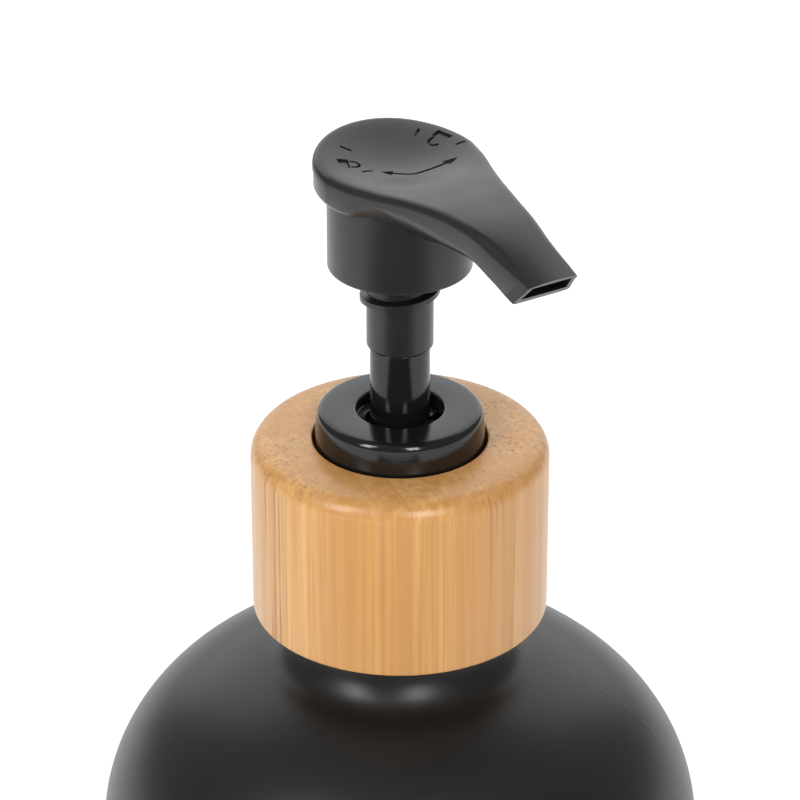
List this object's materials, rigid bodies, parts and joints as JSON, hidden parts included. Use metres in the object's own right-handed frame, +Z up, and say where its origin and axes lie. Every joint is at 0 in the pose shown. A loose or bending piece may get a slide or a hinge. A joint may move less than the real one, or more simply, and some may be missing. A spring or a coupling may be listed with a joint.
{
  "type": "soap pump dispenser",
  "caption": "Refillable pump bottle for liquid soap: round domed bottle, bamboo collar over a screw cap, and a press-down pump head with a flat spout and a turn lock.",
  "frame": {"origin": "centre of the bottle's base, on the surface it stands on", "axes": "+Z up along the bottle's axis, spout along -Y at rest"},
  "size_m": [0.085, 0.085, 0.1877],
  "materials": {
    "bottle": "opaque satin black coated glass",
    "bamboo": "satin lacquered laminated bamboo",
    "black_plastic": "moulded polypropylene, semi-gloss",
    "ring_plastic": "moulded polypropylene, glossy",
    "cap_plastic": "moulded polypropylene, matte",
    "white_plastic": "natural polyethylene, translucent white",
    "gasket_foam": "foamed polyethylene",
    "steel": "drawn stainless wire and polished ball"
  },
  "bodies": {
    "bottle": {"bottle": "bottle"},
    "pump_body": {"neck_gasket": "gasket_foam", "pump_cylinder": "white_plastic", "lock_ring": "ring_plastic", "return_spring": "steel", "spring_seat": "white_plastic", "dip_tube": "white_plastic"},
    "cap": {"screw_cap": "cap_plastic", "bamboo_collar": "bamboo"},
    "piston": {"piston": "white_plastic"},
    "plunger": {"pump_head": "black_plastic", "stem": "ring_plastic", "plunger_tip": "white_plastic"},
    "ball": {"inlet_ball": "steel"}
  },
  "joints": [
    {"name": "pump_rise", "type": "slide", "parent": "bottle", "child": "pump_body", "axis": [0, 0, 1], "range_m": [0, 0.00529]},
    {"name": "cap_turn", "type": "hinge", "parent": "pump_body", "child": "cap", "pos_m": [0, 0, 0.13], "axis": [0, 0, 1], "range_deg": [0, 450]},
    {"name": "head_press", "type": "slide", "parent": "pump_body", "child": "piston", "axis": [0, 0, 1], "range_m": [-0.015, 0], "stiffness_N_per_m": 600, "springref_m": 0.01, "deforming": ["return_spring"]},
    {"name": "head_turn", "type": "hinge", "parent": "piston", "child": "plunger", "pos_m": [0, 0, 0.16], "axis": [0, 0, 1], "continuous": true},
    {"name": "ball_lift", "type": "slide", "parent": "pump_body", "child": "ball", "axis": [0, 0, 1], "range_m": [0, 0.0012]}
  ],
  "couplings": [
    {"joint": "cap_turn", "follows": "pump_rise", "rad_per_m": 1484.3}
  ]
}
